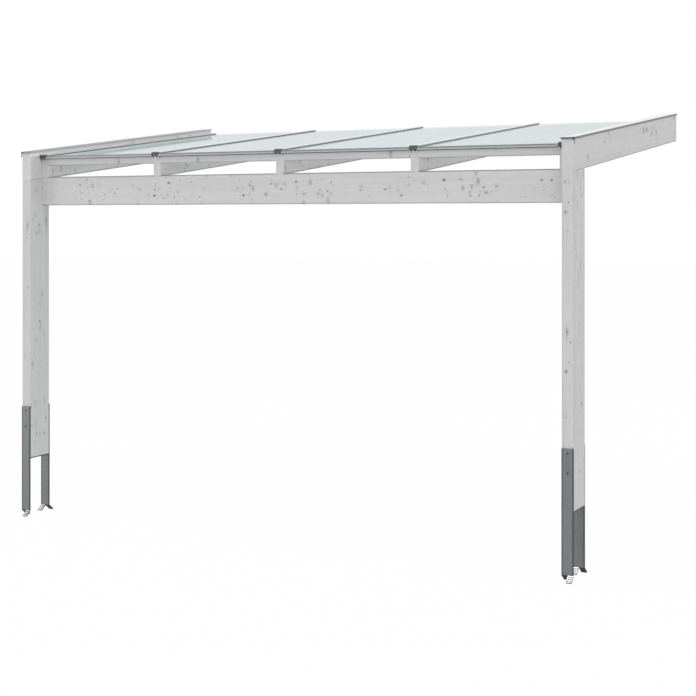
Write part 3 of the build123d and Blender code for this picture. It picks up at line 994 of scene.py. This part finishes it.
class TapeEaves(bpy.types.Operator):
    """Lay foam tape on the noggings, under the front edge of the sheets; its near-black colour also stands
    in for the shade in the gap under them
    """

    bl_idname = "patio_cover.tape_eaves"
    bl_label = "Tape eaves"

    def execute(self, context):
        look = context.scene.patio_roof
        # The near-black foam tape also darkens the gap under the sheets as painted shade.
        foam = moulded_finish("eaves_foam", look.seal, 0.8)
        slope = math.tan(ROOF_PITCH)
        set_back = 0.0015
        bevel = 0.002
        for n in range(BAY_COUNT):
            box_low, box_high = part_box(f"eaves_nogging_{n + 1}")
            front = box_low.y + set_back
            back = front + look.tape_depth
            foot = box_high.z - (box_high.y - box_low.y) * slope
            back_foot = foot + look.tape_depth * slope
            head = foot + look.tape_height

            def section(x):
                """Outline on the sloping top of the nogging, with a bevelled nose."""
                return (
                    (x, front, foot + 0.0002),
                    (x, back, back_foot),
                    (x, back, back_foot + look.tape_height),
                    (x, front + bevel, head),
                    (x, front, head - bevel),
                )

            mesh = bmesh.new()
            lay_strip(mesh, section, (box_low.x, box_high.x))
            finish_piece(f"eaves_tape_{n + 1}", mesh, foam)
        return {"FINISHED"}


class SealBars(bpy.types.Operator):
    """Lay rubber lips between the bar caps and the sheet"""

    bl_idname = "patio_cover.seal_bars"
    bl_label = "Seal bars"

    def execute(self, context):
        look = context.scene.patio_roof
        rubber = moulded_finish("seal_rubber", look.seal, 0.55)
        slope = math.tan(ROOF_PITCH)
        rise = Vector((0.0, -math.sin(ROOF_PITCH), math.cos(ROOF_PITCH))) * look.seal_height
        set_back = 0.001
        for n in range(BAR_COUNT):
            cap_low, cap_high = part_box(f"glazing_bar_cap_{n + 1}")
            sheet_top = high(f"roof_panel_{min(n, BAY_COUNT - 1) + 1}")
            mesh = bmesh.new()
            for way, edge in ((-1.0, cap_low.x), (1.0, cap_high.x)):
                outer = way < 0.0 and n == 0 or way > 0.0 and n == BAR_COUNT - 1
                if outer:
                    continue
                reach = Vector((way * look.seal_reach, 0.0, 0.0))

                def section(y):
                    """Outline of a lip on the sheet beside the cap."""
                    foot = Vector((edge, y, sheet_top.z + (y - sheet_top.y) * slope))
                    return foot - reach, foot + reach, foot + reach * 0.6 + rise, foot - reach + rise

                lay_strip(mesh, section, (cap_high.y, cap_low.y + set_back))
            finish_piece(f"bar_seals_{n + 1}", mesh, rubber)
        return {"FINISHED"}


# Stage

def seen_directly(finish):
    """1 where the camera, a reflection or a see-through surface looks, and 0 for light that spreads."""
    path = finish.node("ShaderNodeLightPath")
    names = ("Is Camera Ray", "Is Glossy Ray", "Is Transmission Ray")
    camera, glossy, transmitted = [Signal(finish, path.outputs[name]) for name in names]
    return finish.maths("MINIMUM", camera + glossy + transmitted, 1.0)


def add_lamp(name, power, size, place, target):
    """A large soft lamp that faces a point."""
    data = bpy.data.lights.new(name, "AREA")
    data.energy = power
    data.size = size
    lamp = bpy.data.objects.new(name, data)
    lamp.visible_camera = False
    bpy.context.scene.collection.objects.link(lamp)
    lamp.location = place
    lamp.rotation_euler = (Vector(target) - Vector(place)).to_track_quat("-Z", "Y").to_euler()


class SetStage(bpy.types.Operator):
    """Set up the floor, the light and the camera"""

    bl_idname = "patio_cover.set_stage"
    bl_label = "Set stage"

    def execute(self, context):
        scene = context.scene
        look = scene.patio_stage
        scene.view_settings.view_transform = "Standard"

        # Floor
        half = 60.0
        clearance = 0.0005
        level = CAD_BOX[0].z - clearance
        data = bpy.data.meshes.new("studio_floor")
        corners = [(-half, -half, level), (half, -half, level), (half, half, level), (-half, half, level)]
        data.from_pydata(corners, [], [(0, 1, 2, 3)])
        material, ground = new_finish("studio_floor")
        matt = ground.node("ShaderNodeBsdfDiffuse", {}, {"Color": (*look.floor, 1.0)})
        white = ground.node("ShaderNodeEmission", {}, {"Color": (1.0, 1.0, 1.0, 1.0), "Strength": 1.0})
        seen = seen_directly(ground) * look.floor_glow
        both = ground.node("ShaderNodeMixShader", {}, {0: seen, 1: matt.outputs[0], 2: white.outputs[0]})
        ground.node("ShaderNodeOutputMaterial", {}, {"Surface": both.outputs[0]})
        data.materials.append(material)
        floor = bpy.data.objects.new("studio_floor", data)
        scene.collection.objects.link(floor)

        # Daylight
        world = bpy.data.worlds.new("studio_daylight")
        world.use_nodes = True
        scene.world = world
        sky = Finish(world.node_tree)
        strength = seen_directly(sky) * (1.0 - look.daylight) + look.daylight
        air = sky.node("ShaderNodeBackground", {}, {"Color": (1.0, 1.0, 1.0, 1.0), "Strength": strength})
        sky.node("ShaderNodeOutputWorld", {}, {"Surface": air.outputs[0]})

        # Lamps
        centre = (0.0, -1.8, -1.0)
        add_lamp("overhead_lamp", look.overhead, 2.6, (-0.5, -3.6, 6.5), centre)
        add_lamp("front_lamp", look.front, 7.0, (9.0, -14.5, 0.2), centre)
        add_lamp("left_lamp", look.left, 2.4, (-9.0, -9.6, -1.7), (-2.2, -2.6, -2.6))
        add_lamp("back_lamp", look.back, 4.0, (7.0, 8.0, 1.5), (-2.2, -1.3, 0.0))

        # Camera
        data = bpy.data.cameras.new("camera")
        data.sensor_width = 36.0
        data.lens = look.lens
        data.shift_y = look.rise
        data.clip_start = 0.1
        data.clip_end = 200.0
        camera = bpy.data.objects.new("camera", data)
        scene.collection.objects.link(camera)
        camera.location = look.eye
        camera.rotation_euler = (math.radians(90.0), 0.0, look.turn)
        scene.camera = camera
        return {"FINISHED"}


# Add-on

STEPS = (
    StainTimber,
    CoatAnchors,
    FinishCappings,
    FinishBars,
    FitPlastics,
    GlazeRoof,
    FitAnchorScrews,
    FitWallNuts,
    SealBars,
    TapeEaves,
    ClipCappings,
    SetStage,
)


class PatioCoverPanel(bpy.types.Panel):
    """Lists the steps and the settings"""

    bl_idname = "VIEW3D_PT_patio_cover"
    bl_label = "Patio cover"
    bl_space_type = "VIEW_3D"
    bl_region_type = "UI"
    bl_category = "Patio cover"

    def draw(self, context):
        for step in STEPS:
            self.layout.operator(step.bl_idname)
        for name, group in GROUPS.items():
            box = self.layout.box()
            for setting in group.__annotations__:
                box.prop(getattr(context.scene, name), setting)


def register():
    """Registers the settings, the steps and the panel."""
    for name, group in GROUPS.items():
        bpy.utils.register_class(group)
        setattr(bpy.types.Scene, name, bpy.props.PointerProperty(type=group))
    for step in (*STEPS, PatioCoverPanel):
        bpy.utils.register_class(step)


def unregister():
    """Takes them out again."""
    for step in reversed((*STEPS, PatioCoverPanel)):
        bpy.utils.unregister_class(step)
    for name, group in reversed(GROUPS.items()):
        delattr(bpy.types.Scene, name)
        bpy.utils.unregister_class(group)


def main():
    """Registers the add-on and runs every step."""
    register()
    for step in STEPS:
        group_name, step_name = step.bl_idname.split(".")
        getattr(getattr(bpy.ops, group_name), step_name)()


if __name__ == "__main__":
    main()
